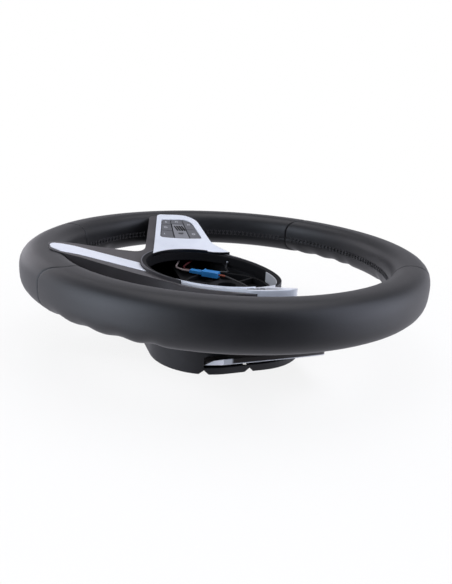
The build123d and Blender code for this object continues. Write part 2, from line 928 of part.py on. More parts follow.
bowl_outer = bowl(0, bowl_bottom_z, bowl_top_z)
bowl_inner = bowl(rear_wall, bowl_floor_z, bowl_top_z - rear_wall)
rear_outer = rear_block(rear_plan.sketch, 0, -frame_depth - parting_gap)
rear_inner = rear_block(rear_hollow_plan.sketch, rear_wall, frame_depth)
paddle_slope = paddle_rise / (paddle_outer_radius - paddle_knee_x)
paddle_top_z = paddle_pivot_z + paddle_inner_thickness / 2
paddle_low_z = paddle_pivot_z - paddle_inner_thickness / 2
slot_out_x = bowl_top_half_width + slot_clearance
slot_in_x = paddle_pivot_x - barrel_radius - slot_clearance
slot_rise = paddle_slope * (slot_out_x - paddle_knee_x)
swing_rise = radians(paddle_swing) * (slot_out_x - paddle_pivot_x)
with BuildPart() as slot_tool:
    with BuildSketch(Plane.XZ.offset(-paddle_low_y + slot_clearance)):
        with BuildLine():
            Polyline(
                (slot_in_x, paddle_low_z - slot_clearance),
                (paddle_knee_x, paddle_low_z - slot_clearance),
                (slot_out_x, paddle_low_z + slot_rise - paddle_thickness - slot_clearance),
                (slot_out_x, paddle_top_z + slot_rise + swing_rise + slot_clearance),
                (paddle_knee_x, paddle_top_z + swing_rise + slot_clearance),
                (slot_in_x, paddle_top_z + swing_rise + slot_clearance),
                close=True,
            )
        make_face()
    extrude(amount=paddle_low_y - paddle_high_y - 2 * slot_clearance)
with BuildPart() as notch_tool:
    for notch_y in (notch_low_y, notch_high_y):
        with BuildSketch(Plane.YZ.offset(bowl_half_width - notch_run)):
            with BuildLine():
                Polyline(
                    (notch_y - notch_width / 2, bowl_bottom_z),
                    (notch_y, bowl_bottom_z + notch_depth),
                    (notch_y + notch_width / 2, bowl_bottom_z),
                    close=True,
                )
            make_face()
        extrude(amount=2 * notch_run)
arm_lean = (rim_plane_z - arm_knee_z) / (rim_radius - arm_knee_radius)
boss_radius = screw_head_radius + screw_recess_clearance + screw_boss_wall
screw_seats = []
for spot_x, spot_y in screw_spots:
    spot_r = abs(spot_x) if spot_x else abs(spot_y)
    under_arm = arm_knee_z - arm_depth / 2 + arm_lean * (spot_r - arm_knee_radius)
    screw_seats.append((spot_x, spot_y, under_arm - arm_lean * boss_radius - arm_clearance))
with BuildPart() as rear_cover:
    add(bowl_outer)
    add(rear_outer)
    add(bowl_inner, mode=Mode.SUBTRACT)
    add(rear_inner, mode=Mode.SUBTRACT)
    with BuildSketch(Plane.XY.offset(bowl_bottom_z)):
        Circle(reach)
    extrude(amount=-tall, mode=Mode.SUBTRACT)
    with BuildSketch(Plane.XY.offset(bowl_bottom_z)):
        Circle(column_hole_radius)
    extrude(amount=rear_wall, mode=Mode.SUBTRACT)
    add(slot_tool.part, mode=Mode.SUBTRACT)
    mirror(slot_tool.part, about=Plane.YZ, mode=Mode.SUBTRACT)
    add(notch_tool.part, mode=Mode.SUBTRACT)
    mirror(notch_tool.part, about=Plane.YZ, mode=Mode.SUBTRACT)
    for spot_x, spot_y, boss_top in screw_seats:
        with BuildSketch(Plane.XY.offset(boss_top)):
            with Locations((spot_x, spot_y)):
                Circle(boss_radius)
        extrude(amount=-boss_length)
        with BuildSketch(Plane.XY.offset(boss_top - screw_boss_wall)):
            with Locations((spot_x, spot_y)):
                Circle(screw_head_radius + screw_recess_clearance)
        extrude(amount=-tall, mode=Mode.SUBTRACT)
        with BuildSketch():
            with Locations((spot_x, spot_y)):
                Circle(screw_radius + screw_hole_clearance)
        extrude(amount=tall, mode=Mode.SUBTRACT)
    add(rim_envelope, mode=Mode.SUBTRACT)
write(rear_cover.part, "rear_cover")

# Cover screws, up through the rear cover into the arms
with BuildPart() as cover_screws:
    for spot_x, spot_y, boss_top in screw_seats:
        with BuildSketch(Plane.XY.offset(boss_top - screw_boss_wall)):
            with Locations((spot_x, spot_y)):
                Circle(screw_head_radius)
        extrude(amount=-screw_head_height)
        with BuildSketch(Plane.XY.offset(boss_top - screw_boss_wall)):
            with Locations((spot_x, spot_y)):
                Circle(screw_radius)
        extrude(amount=screw_boss_wall + screw_bite)
write(cover_screws.part, "cover_screws")

# Shift paddle: a bent plate, thicker towards its outer end, on a barrel
ear_low_y = barrel_low_y - bracket_gap - bracket_ear / 2
ear_high_y = barrel_high_y + bracket_gap + bracket_ear / 2
with BuildPart() as paddle:
    with BuildSketch(Plane.XZ.offset(-paddle_low_y)):
        with BuildLine():
            Polyline(
                (paddle_pivot_x, paddle_top_z),
                (paddle_knee_x, paddle_top_z),
                (paddle_outer_radius, paddle_pivot_z + paddle_rise),
                (paddle_outer_radius, paddle_pivot_z + paddle_rise - paddle_thickness),
                (paddle_knee_x, paddle_low_z),
                (paddle_pivot_x, paddle_low_z),
                close=True,
            )
        make_face()
    extrude(amount=paddle_low_y - paddle_high_y)
    with BuildSketch(Plane.XY.offset(-tall)) as paddle_outline:
        Circle(paddle_outer_radius)
        with Locations((paddle_pivot_x, (paddle_low_y + paddle_high_y) / 2)):
            Rectangle(
                paddle_outer_radius,
                paddle_high_y - paddle_low_y,
                align=(Align.MIN, Align.CENTER),
                mode=Mode.INTERSECT,
            )
        fillet(paddle_outline.vertices().group_by(Axis.X)[-1], radius=paddle_corner)
    extrude(amount=2 * tall, mode=Mode.INTERSECT)
    with BuildSketch(Plane.XY.offset(-tall)):
        for notch_y in (ear_low_y, ear_high_y):
            with Locations((paddle_pivot_x, notch_y)):
                Rectangle(2 * (barrel_radius + ear_clearance), bracket_ear + 2 * bracket_gap)
    extrude(amount=2 * tall, mode=Mode.SUBTRACT)
    with Locations(
        Location(
            (paddle_pivot_x, (barrel_low_y + barrel_high_y) / 2, paddle_pivot_z), (90, 0, 0)
        )
    ):
        Cylinder(barrel_radius, barrel_high_y - barrel_low_y)
        Cylinder(pin_radius + pin_clearance, 2 * (barrel_high_y - barrel_low_y), mode=Mode.SUBTRACT)
write_pair(paddle.part, "paddle")

# Paddle bracket on the bowl's floor, two ears round the barrel
with BuildPart() as paddle_bracket:
    with BuildSketch(Plane.XY.offset(bowl_floor_z)):
        with Locations((paddle_pivot_x, (ear_low_y + ear_high_y) / 2)):
            Rectangle(2 * bracket_half_width, ear_high_y - ear_low_y + bracket_ear)
    extrude(amount=bracket_base)
    for ear_y in (ear_low_y, ear_high_y):
        with BuildSketch(Plane.XZ.offset(-ear_y)):
            with Locations((paddle_pivot_x, paddle_pivot_z)):
                Circle(barrel_radius)
                Rectangle(
                    2 * barrel_radius,
                    paddle_pivot_z - bowl_floor_z,
                    align=(Align.CENTER, Align.MAX),
                )
                Circle(pin_radius, mode=Mode.SUBTRACT)
        extrude(amount=bracket_ear / 2, both=True)
write_pair(paddle_bracket.part, "paddle_bracket")

with BuildPart() as paddle_pin:
    with BuildSketch(Plane.XZ.offset(-ear_low_y + bracket_ear / 2)):
        with Locations((paddle_pivot_x, paddle_pivot_z)):
            Circle(pin_radius)
    extrude(amount=ear_low_y - ear_high_y - bracket_ear)
write_pair(paddle_pin.part, "paddle_pin")

# Two-piece lead connector, lying on the hub
connector = Plane(
    (connector_x, connector_y, hub_top_z),
    x_dir=(cos(radians(connector_angle)), sin(radians(connector_angle)), 0),
    z_dir=(0, 0, 1),
)
mouth_width = plug_width + 2 * plug_clearance
mouth_height = plug_height + 2 * plug_clearance
socket_width = mouth_width + 2 * socket_wall
socket_height = mouth_height + 2 * socket_wall
plug_z = socket_wall + plug_clearance
lead_z = plug_z + plug_height / 2
with BuildPart() as connector_socket:
    with BuildSketch(connector):
        Rectangle(socket_length, socket_width, align=(Align.MIN, Align.CENTER))
    extrude(amount=socket_height)
    with BuildSketch(connector):
        Rectangle(2 * socket_rib, socket_width + 2 * socket_rib, align=(Align.MIN, Align.CENTER))
    extrude(amount=socket_height + socket_rib)
    with BuildSketch(connector.offset(socket_wall)):
        Rectangle(plug_insert + plug_clearance, mouth_width, align=(Align.MIN, Align.CENTER))
    extrude(amount=mouth_height, mode=Mode.SUBTRACT)
write(connector_socket.part, "connector_socket")

with BuildPart() as connector_plug:
    with BuildSketch(connector.offset(plug_z)):
        with Locations((plug_insert, 0)):
            Rectangle(plug_length + plug_insert, plug_width, align=(Align.MAX, Align.CENTER))
    extrude(amount=plug_height)
    with BuildSketch(connector.offset(plug_z + plug_height)):
        with Locations((-plug_clearance, 0)):
            Rectangle(latch_length, latch_width, align=(Align.MAX, Align.CENTER))
    extrude(amount=latch_height)
write(connector_plug.part, "connector_plug")


def lead_end(side, v):
    # Where a lead meets the inner wall of a switch carrier, and the point before it
    wall_u = -window_half - guide_margin - carrier_clearance - carrier_wall - lead_gap
    points = []
    for run in (lead_run, 0.0):
        point = pad.from_local_coords((wall_u - run, v, lead_depth))
        points.append((side * point.X, point.Y, point.Z))
    return points


def bend_radii(points):
    # The largest arcs that the runs leave room for
    vectors = [Vector(point) for point in points]
    radii = []
    for before, corner, after in zip(vectors, vectors[1:], vectors[2:]):
        half_turn = radians((corner - before).get_angle(after - corner)) / 2
        shorter = min((corner - before).length, (after - corner).length)
        radii.append(bend_share * shorter * cos(half_turn) / sin(half_turn))
    return radii


def wire(points, radius):
    with BuildPart() as tube:
        with BuildLine() as route:
            FilletPolyline(*points, radius=bend_radii(points))
        with BuildSketch(Plane(origin=route.line @ 0, z_dir=route.line % 0)):
            Circle(radius)
        sweep()
    return tube.part


def on_connector(u, v, z):
    spot = connector.from_local_coords((u, v, z))
    return (spot.X, spot.Y, spot.Z)


lead_spread = plug_width / 4
wires = {
    "lead_white": [
        on_connector(-plug_length, -lead_spread, lead_z),
        on_connector(-plug_length - lead_exit, -lead_spread, lead_z),
        (*white_turn, hub_top_z + lead_rise),
        *lead_end(-1, white_lead_v),
    ],
    "lead_red": [
        on_connector(-plug_length, lead_spread, lead_z),
        on_connector(-plug_length - lead_exit, lead_spread, lead_z),
        (*red_turn, hub_top_z + lead_rise),
        *lead_end(-1, red_lead_v),
    ],
    "lead_orange": [
        on_connector(socket_length, 0, lead_z),
        on_connector(socket_length + lead_exit, 0, lead_z),
        (*orange_turn, hub_top_z + lead_rise),
        (*orange_far_turn, hub_top_z + lead_rise),
        *lead_end(1, red_lead_v),
    ],
}
for name, points in wires.items():
    write(wire(points, lead_radius), name)

# Wire springs that hold the airbag, lying on the hub wall
spring_z = hub_top_z + spring_wire_radius + spring_gap
spring_radius = hub_plate_radius - hub_wall / 2
spring_tail_x = (spring_radius**2 - spring_tail_y**2) ** 0.5
spring_knee_x = (spring_radius**2 - spring_knee_y**2) ** 0.5
spring_tip_x = well_half_width * (1 - ((spring_tip_y - well_y) / well_half_height) ** 2) ** 0.5
spring_tip_x -= spring_wire_radius + lead_gap
airbag_spring = wire(
    [
        (spring_tail_x, spring_tail_y, spring_z),
        (spring_knee_x, spring_knee_y, spring_z),
        (spring_tip_x, (spring_knee_y + spring_tip_y) / 2, spring_z + spring_knee_rise),
        (spring_tip_x, spring_tip_y, spring_z + spring_tip_rise),
    ],
    spring_wire_radius,
)
write_pair(airbag_spring, "airbag_spring")

# Bare plate on the inner wall of the well
with BuildSketch() as plate_plan:
    with Locations((0, well_y)):
        Ellipse(well_half_width, well_half_height)
        Ellipse(
            well_half_width - plate_thickness, well_half_height - plate_thickness, mode=Mode.SUBTRACT
        )
    with Locations((plate_start_x, 0)):
        Rectangle(plate_length, reach, align=(Align.MIN, Align.MIN), mode=Mode.INTERSECT)
plate_block = dish_block(plate_plan.sketch, -plate_drop - plate_height, -plate_drop)
write(plate_block, "bare_plate")
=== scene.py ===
import bpy
import json
import math
from mathutils import Matrix, Vector


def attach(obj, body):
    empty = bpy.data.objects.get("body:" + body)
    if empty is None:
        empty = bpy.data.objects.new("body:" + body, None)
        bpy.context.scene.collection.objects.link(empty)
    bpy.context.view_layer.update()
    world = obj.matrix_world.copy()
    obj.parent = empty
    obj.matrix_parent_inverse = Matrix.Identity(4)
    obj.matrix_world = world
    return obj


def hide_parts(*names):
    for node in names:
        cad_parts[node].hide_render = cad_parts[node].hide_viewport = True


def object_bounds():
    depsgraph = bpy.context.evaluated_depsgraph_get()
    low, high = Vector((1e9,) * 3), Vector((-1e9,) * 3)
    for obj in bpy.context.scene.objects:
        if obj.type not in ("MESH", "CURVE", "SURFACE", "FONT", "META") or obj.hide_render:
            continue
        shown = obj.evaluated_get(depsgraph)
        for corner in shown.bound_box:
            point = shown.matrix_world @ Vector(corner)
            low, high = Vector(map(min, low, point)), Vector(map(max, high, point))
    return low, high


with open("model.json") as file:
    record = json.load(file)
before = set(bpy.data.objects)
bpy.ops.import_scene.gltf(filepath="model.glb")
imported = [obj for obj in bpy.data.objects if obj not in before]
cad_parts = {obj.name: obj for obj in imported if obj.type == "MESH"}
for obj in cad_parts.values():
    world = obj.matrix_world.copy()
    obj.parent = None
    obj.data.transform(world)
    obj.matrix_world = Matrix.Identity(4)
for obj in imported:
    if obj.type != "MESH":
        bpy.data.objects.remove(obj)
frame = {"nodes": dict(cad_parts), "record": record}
nodes = frame["nodes"]
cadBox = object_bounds()
scene = bpy.context.scene
scene.view_settings.view_transform = "Standard"
print("frame loaded,", len(nodes), "nodes")


# shader maths: an expression on Shade values adds its Math nodes
class Shade:
    def __init__(self, tree, socket=None):
        self.tree = tree
        self.socket = socket

    def node(self, kind, settings=None, inputs=None, out=0):
        made = self.tree.nodes.new(kind)
        for name, value in (settings or {}).items():
            setattr(made, name, value)
        for name, value in (inputs or {}).items():
            if isinstance(value, Shade):
                self.tree.links.new(value.socket, made.inputs[name])
            else:
                made.inputs[name].default_value = value
        return Shade(self.tree, made.outputs[out])

    def maths(self, operation, a, b=0.0):
        return self.node("ShaderNodeMath", {"operation": operation}, {0: a, 1: b})

    def __add__(self, other):
        return self.maths("ADD", self, other)

    def __radd__(self, other):
        return self.maths("ADD", other, self)

    def __sub__(self, other):
        return self.maths("SUBTRACT", self, other)

    def __rsub__(self, other):
        return self.maths("SUBTRACT", other, self)

    def __mul__(self, other):
        return self.maths("MULTIPLY", self, other)

    def __truediv__(self, other):
        return self.maths("DIVIDE", self, other)

    def __pow__(self, other):
        return self.maths("POWER", self, other)

    def __gt__(self, other):
        return self.maths("GREATER_THAN", self, other)

    def __lt__(self, other):
        return self.maths("LESS_THAN", self, other)

    def __abs__(self):
        return self.maths("ABSOLUTE", self)

    def ramp(self, low, high, fromValue=0.0, toValue=1.0):
        settings = {"interpolation_type": "SMOOTHSTEP"}
        values = {"Value": self, "From Min": low, "From Max": high, "To Min": fromValue, "To Max": toValue}
        return self.node("ShaderNodeMapRange", settings, values)


def startMaterial(name):
    material = bpy.data.materials.new(name)
    material.use_nodes = True
    material.node_tree.nodes.clear()
    return material, Shade(material.node_tree)


def mixColour(start, factor, low, high):
    return start.node("ShaderNodeMix", {"data_type": "RGBA"}, {0: factor, 6: low, 7: high}, out=2)


bevelSamples = 6
bumpStrength = 0.4


def endMaterial(start, colour, roughness, height, bump, strength=bumpStrength, fixed=None, edge=0.0):
    relief = {"Strength": strength, "Distance": bump, "Height": height}
    if edge:  # rounds sharp corners in the shading
        relief["Normal"] = start.node("ShaderNodeBevel", {"samples": bevelSamples}, {"Radius": edge})
    normal = start.node("ShaderNodeBump", None, relief)
    values = {"Base Color": colour, "Roughness": roughness, "Normal": normal, **(fixed or {})}
    shader = start.node("ShaderNodeBsdfPrincipled", None, values)
    output = start.tree.nodes.new("ShaderNodeOutputMaterial")
    start.tree.links.new(shader.socket, output.inputs["Surface"])


def place(start):
    return start.node("ShaderNodeTexCoord", None, None, out=3)


def axes(start, where):
    split = start.node("ShaderNodeSeparateXYZ", None, {0: where}).socket.node
    return [Shade(start.tree, output) for output in split.outputs]


def noise(start, where, scale, detail=2.0, roughness=0.5):
    values = {"Vector": where, "Scale": scale, "Detail": detail, "Roughness": roughness}
    return start.node("ShaderNodeTexNoise", None, values)


# camera, fitted to the rim in the photograph
camera = {
    "at": (0.4824, -0.1852, 0.1977),
    "look": (-0.8887, 0.3403, -0.3073),
    "roll": 3.55,
    "lens": 33.986,
    "sensor": 36.0,
    "nearest": 0.01,
}


def makeCamera():
    data = bpy.data.cameras.new("camera")
    data.sensor_fit = "VERTICAL"
    data.sensor_height = camera["sensor"]
    data.lens = camera["lens"]
    data.clip_start = camera["nearest"]
    look = Vector(camera["look"]).normalized()
    side = look.cross(Vector((0, 0, 1))).normalized()
    top = side.cross(look)
    turn = math.radians(camera["roll"])
    right = side * math.cos(turn) + top * math.sin(turn)
    up = top * math.cos(turn) - side * math.sin(turn)
    eye = bpy.data.objects.new("camera", data)
    facing = Matrix((right, up, -look)).transposed().to_4x4()
    eye.matrix_world = Matrix.Translation(camera["at"]) @ facing
    scene.collection.objects.link(eye)
    scene.camera = eye


makeCamera()

# studio: pale floor that fades into a white surround, a box at each side, one behind and one overhead
studio = {
    "floorSize": 3.0,
    "floorDrop": 0.0005,
    "floorPatches": 3.0,
    "floorColour": (0.93, 0.93, 0.93, 1),
    "floorWarm": (0.95, 0.95, 0.945, 1),
    "shadowLoss": 0.86,  # share of the floor that is see-through under the object
    "fadeStart": 0.16,
    "fadeEnd": 0.5,
    "surround": 0.42,  # strength for all but mirrored light
    "surroundTint": (0.93, 0.92, 1.0, 1),
    "darkSide": (1.0, -0.03, 0.0),  # the room behind the photographer is dark
    "darkRamp": (0.42, 0.85),
    "darkLevel": 0.06,
    "skyRamp": (0.15, 0.5),
    "skyLevel": 0.22,  # mirrored light fades from the horizon up
    "boxes": {  # place, target, width, height, power, colour
        "overhead": ((-0.25, 0.1, 1.5), (0, 0, 0), 1.6, 1.6, 12.5, (0.95, 0.94, 1.0)),
        "backBox": ((-1.0, -0.7, 0.4), (0, -0.1, 0.06), 0.9, 0.8, 3.0, (0.96, 0.93, 1.0)),
        "leftBox": ((0.28, -1.2, 0.2), (0, 0, 0.05), 0.9, 1.3, 11.5, (0.76, 0.85, 1.0)),
        "rightBox": ((0.74, 1.0, 0.45), (0, 0, 0.05), 1.2, 1.7, 14.5, (0.78, 0.83, 1.0)),
    },
}


def makeFloor():
    bpy.ops.object.select_all(action="DESELECT")
    level = cadBox[0][2] - studio["floorDrop"]
    bpy.ops.mesh.primitive_plane_add(size=studio["floorSize"], location=(0, 0, level))
    floor = bpy.context.object
    floor.name = "floor"
    bpy.ops.object.transform_apply(location=True)
    material, start = startMaterial("paleFloor")
    where = place(start)
    reach = start.node("ShaderNodeVectorMath", {"operation": "LENGTH"}, {0: where}, out=1)
    fade = reach.ramp(studio["fadeStart"], studio["fadeEnd"], studio["shadowLoss"], 1.0)
    patches = noise(start, where, studio["floorPatches"])
    colour = mixColour(start, patches, studio["floorColour"], studio["floorWarm"])
    plain = start.node("ShaderNodeBsdfDiffuse", None, {"Color": colour})
    clear = start.node("ShaderNodeBsdfTransparent")
    mixed = start.node("ShaderNodeMixShader", None, {0: fade, 1: plain, 2: clear})
    output = start.tree.nodes.new("ShaderNodeOutputMaterial")
    start.tree.links.new(mixed.socket, output.inputs["Surface"])
    floor.data.materials.append(material)


def makeSurround():
    world = bpy.data.worlds.new("surround")
    scene.world = world
    world.use_nodes = True
    world.node_tree.nodes.clear()
    start = Shade(world.node_tree)
    way = start.node("ShaderNodeTexCoord", None, None, out=0)
    facing = start.node("ShaderNodeVectorMath", {"operation": "DOT_PRODUCT"},
                        {0: way, 1: Vector(studio["darkSide"]).normalized()}, out=1)
    room = facing.ramp(*studio["darkRamp"], 1.0, studio["darkLevel"])
    sky = axes(start, way)[2].ramp(*studio["skyRamp"], 1.0, studio["skyLevel"])
    cameraRay, glossyRay, clearRay = [
        start.node("ShaderNodeLightPath", None, None, out=name)
        for name in ("Is Camera Ray", "Is Glossy Ray", "Is Transmission Ray")
    ]
    backdrop = start.maths("MAXIMUM", cameraRay, clearRay)
    lit = room * (glossyRay * sky + (1 - glossyRay) * studio["surround"])
    level = backdrop + (1 - backdrop) * lit
    tint = mixColour(start, backdrop, studio["surroundTint"], (1, 1, 1, 1))
    back = start.node("ShaderNodeBackground", None, {"Color": tint, "Strength": level})
    output = start.tree.nodes.new("ShaderNodeOutputWorld")
    start.tree.links.new(back.socket, output.inputs["Surface"])


def makeBoxes():
    for name, (spot, target, width, height, power, colour) in studio["boxes"].items():
        data = bpy.data.lights.new(name, "AREA")
        data.shape = "RECTANGLE"
        data.size = width
        data.size_y = height
        data.energy = power
        data.color = colour
        lamp = bpy.data.objects.new(name, data)
        lamp.location = spot
        lamp.rotation_euler = (Vector(target) - Vector(spot)).to_track_quat("-Z", "Y").to_euler()
        scene.collection.objects.link(lamp)


makeFloor()
makeSurround()
makeBoxes()
print("camera and studio ready")


# leather with a pebbled grain
leather = {
    "dark": (0.0078, 0.0080, 0.0090, 1),
    "pale": (0.0115, 0.0118, 0.0132, 1),
    "cellScale": 950.0,
    "cellSmooth": 0.6,
    "cellShare": 0.7,
    "fineScale": 2600.0,
    "fineShare": 0.3,
    "broadScale": 38.0,
    "detail": 3.0,
    "toneRamp": (0.3, 0.75),
    "rough": 0.40,
    "broadSpread": 0.08,
    "cellSpread": 0.05,
    "bump": 0.00012,
    "strength": 0.35,
}


def leatherFinish(name):
    material, start = startMaterial(name)
    where = place(start)
    cells = start.node("ShaderNodeTexVoronoi", {"feature": "SMOOTH_F1"},
                       {"Vector": where, "Scale": leather["cellScale"], "Smoothness": leather["cellSmooth"]})
    fine = noise(start, where, leather["fineScale"], leather["detail"])
    broad = noise(start, where, leather["broadScale"], leather["detail"])
    height = cells * leather["cellShare"] + fine * leather["fineShare"]
    colour = mixColour(start, broad.ramp(*leather["toneRamp"]), leather["dark"], leather["pale"])
    roughness = broad * leather["broadSpread"] + cells * leather["cellSpread"] + leather["rough"]
    endMaterial(start, colour, roughness, height, leather["bump"], leather["strength"])
    return material


# grain of the moulded pieces: the fine one gives the bump, the broad one the change of tone
grain = {
    "fineScale": 1800.0,
    "fineDetail": 3.0,
    "fineRough": 0.6,
    "broadScale": 45.0,
    "toneRamp": (0.3, 0.7),
    "spread": 0.08,
    "bump": 0.00006,
}


def fineGrain(start, where, scale=grain["fineScale"]):
    return noise(start, where, scale, grain["fineDetail"], grain["fineRough"])


def broadGrain(start, where):
    return noise(start, where, grain["broadScale"])


def varied(rough, grains, spread):
    return rough + (grains - 0.5) * spread


def mouldedFinish(name, dark, pale, rough, scale=grain["fineScale"], bump=grain["bump"],
                  shine=0.5, edge=0.0):
    material, start = startMaterial(name)
    where = place(start)
    fine = fineGrain(start, where, scale)
    broad = broadGrain(start, where)
    colour = mixColour(start, broad.ramp(*grain["toneRamp"]), dark, pale)
    roughness = varied(varied(rough, fine, grain["spread"]), broad, grain["spread"])
    endMaterial(start, colour, roughness, fine, bump, fixed={"Specular IOR Level": shine}, edge=edge)
    return material


moulded = {
    # the alloy casting is coloured near-black: painted shade for the dark well round the hub
    "casting": {
        "name": "alloyInPaintedShade", "dark": (0.005, 0.005, 0.0055, 1), "pale": (0.008, 0.008, 0.009, 1),
        "rough": 0.6, "scale": 900.0, "bump": 0.0001, "shine": 0.2,
    },
    "guide_plastic": {
        "name": "guidePlastic", "dark": (0.008, 0.008, 0.008, 1), "pale": (0.012, 0.012, 0.012, 1),
        "rough": 0.55,
    },
    "mat_rubber": {
        "name": "matRubber", "dark": (0.2, 0.2, 0.21, 1), "pale": (0.26, 0.26, 0.27, 1), "rough": 0.7,
    },
    "board": {
        "name": "boardLacquer", "dark": (0.015, 0.10, 0.04, 1), "pale": (0.03, 0.15, 0.06, 1), "rough": 0.35,
    },
    "black_plastic": {
        "name": "blackPlastic", "dark": (0.012, 0.012, 0.013, 1), "pale": (0.018, 0.018, 0.02, 1),
        "rough": 0.48, "shine": 0.3, "edge": 0.001,
    },
    "blue_plastic": {
        "name": "bluePlastic", "dark": (0.03, 0.22, 0.56, 1), "pale": (0.04, 0.27, 0.62, 1), "rough": 0.35,
    },
    "lead_white": {
        "name": "whiteSleeve", "dark": (0.27, 0.22, 0.21, 1), "pale": (0.33, 0.27, 0.26, 1), "rough": 0.45,
    },
    "lead_red": {
        "name": "redSleeve", "dark": (0.055, 0.005, 0.006, 1), "pale": (0.07, 0.006, 0.008, 1), "rough": 0.45,
    },
    "plate": {
        "name": "plateFilm", "dark": (0.50, 0.51, 0.52, 1), "pale": (0.58, 0.59, 0.60, 1), "rough": 0.4,
    },
}

# bare steel of the bush, screws and pins
steel = {
    "dark": (0.5, 0.51, 0.52, 1),
    "pale": (0.66, 0.67, 0.68, 1),
    "scale": 400.0,
    "detail": 4.0,
    "detailRough": 0.6,
    "toneRamp": (0.25, 0.75),
    "rough": 0.3,
    "spread": 0.2,
    "bump": 0.00005,
    "strength": 0.3,
}


def steelFinish(name):
    material, start = startMaterial(name)
    fine = noise(start, place(start), steel["scale"], steel["detail"], steel["detailRough"])
    colour = mixColour(start, fine.ramp(*steel["toneRamp"]), steel["dark"], steel["pale"])
    roughness = varied(steel["rough"], fine, steel["spread"])
    endMaterial(start, colour, roughness, fine, steel["bump"], steel["strength"], {"Metallic": 1.0})
    return material


# the well is an ellipse: its lip is dull black with a pale outer line that is a painted highlight, the spokes
# are soft-touch grey
well = {
    "centreY": -0.0165,
    "halfWidth": 0.0665,
    "halfHeight": 0.0625,
    "lip": (1.068, 1.080),  # in shares of the ellipse
    # a pale line just inside the lip's edge: a painted highlight
    "lipHighlight": (1.056, 1.062),
    # the lip's own black, which on the well's inner wall stands as painted shade
    "lipBlackAndShade": (0.005, 0.005, 0.006, 1),
    "highlightColour": (0.15, 0.15, 0.16, 1),
    "lipRough": 0.7,
    "spokeDark": (0.066, 0.062, 0.063, 1),
    "spokePale": (0.084, 0.079, 0.080, 1),
    "spokeRough": 0.46,
    "spokeSpread": 0.1,
    "shine": 0.22,
    "edge": 0.0012,
}


def outFromWell(start, where):
    x, y = axes(start, where)[:2]
    across = x / well["halfWidth"]
    upright = (y - well["centreY"]) / well["halfHeight"]
    return (across ** 2 + upright ** 2) ** 0.5


def spokeFinish(name):
    material, start = startMaterial(name)
    where = place(start)
    out = outFromWell(start, where)
    # inside the lip's edge: the lip's own black, and painted shade on the well's inner wall
    lip = out.ramp(*well["lip"], 1.0, 0.0)
    # the pale line near the lip's edge is a painted highlight
    line = out.ramp(*well["lipHighlight"]) * lip
    fine = fineGrain(start, where)
    broad = broadGrain(start, where)
    spoke = mixColour(start, broad.ramp(*grain["toneRamp"]), well["spokeDark"], well["spokePale"])
    colour = mixColour(start, line, mixColour(start, lip, spoke, well["lipBlackAndShade"]), well["highlightColour"])
    soft = varied(varied(well["spokeRough"], fine, well["spokeSpread"]), broad, grain["spread"])
    roughness = soft * (1 - lip) + lip * well["lipRough"]
    endMaterial(start, colour, roughness, fine * (1 - lip), grain["bump"], edge=well["edge"],
                fixed={"Specular IOR Level": well["shine"]})
    return material


# bright lacquer, with the bezels' edge face along the well and the wall at the 12 o'clock tip coloured black
# as painted shade
silver = {
    "dark": (0.80, 0.84, 0.90, 1),
    "pale": (0.84, 0.88, 0.93, 1),
    # where the bezel's edge face along the well turns to painted shade
    "wellEdgeShade": (1.008, 1.014),
    "tipWall": (0.186, 0.06346),  # slope and start of the straight wall at the 12 o'clock tip
    "tipEdge": (0.0004, 0.0007),
    "tipFrom": (0.002, 0.004),
    "rough": 0.3,
    "metal": 0.12,
    "scale": 3000.0,
    "bump": 0.00002,
    "edge": 0.001,
}


def silverFinish(name):
    material, start = startMaterial(name)
    where = place(start)
    x, y = axes(start, where)[:2]
    slope, reach = silver["tipWall"]
    # the wall at the 12 o'clock tip is coloured black too: painted shade
    tip = (abs(x) + y * slope - reach).ramp(*silver["tipEdge"])
    tip = start.maths("MAXIMUM", tip, y.ramp(*silver["tipFrom"], 1.0, 0.0))
    # black along the well's edge and at the tip: painted shade running on from the dark well
    clearOfShade = start.maths("MINIMUM", outFromWell(start, where).ramp(*silver["wellEdgeShade"]), tip)
    fine = fineGrain(start, where, silver["scale"])
    broad = broadGrain(start, where)
    bright = mixColour(start, broad.ramp(*grain["toneRamp"]), silver["dark"], silver["pale"])
    colour = mixColour(start, clearOfShade, well["lipBlackAndShade"], bright)
    roughness = varied(varied(silver["rough"], fine, grain["spread"]), broad, grain["spread"])
    endMaterial(start, colour, roughness, fine, silver["bump"], edge=silver["edge"],
                fixed={"Metallic": clearOfShade * silver["metal"]})
    return material


# the paddles are coloured dark as painted shade on their front face, with a bright wedge at the 6 o'clock end
# and a bright line along the lower edge
paddle = {
    "brightEndY": (-0.0415, -0.0395),
    "wedgeAt": (0.0849, -0.0028),
    "wedgeSlope": 0.638,
    "wedgeSoft": 0.0006,
    "lineAt": (0.1289, 0.0180),
    "lineSlope": 0.46,
    "lineSoft": 0.0004,
    "lineInner": (0.121, 0.123),
    "frontPaintedShade": (0.020, 0.017, 0.016, 1),
    "brightColour": (0.80, 0.82, 0.86, 1),
    "scale": 1500.0,
    "rough": 0.36,
    "spread": 0.1,
    "brightSmooth": 0.06,
    "brightMetal": 0.25,
    "bump": 0.00003,
    "edge": 0.0008,
}


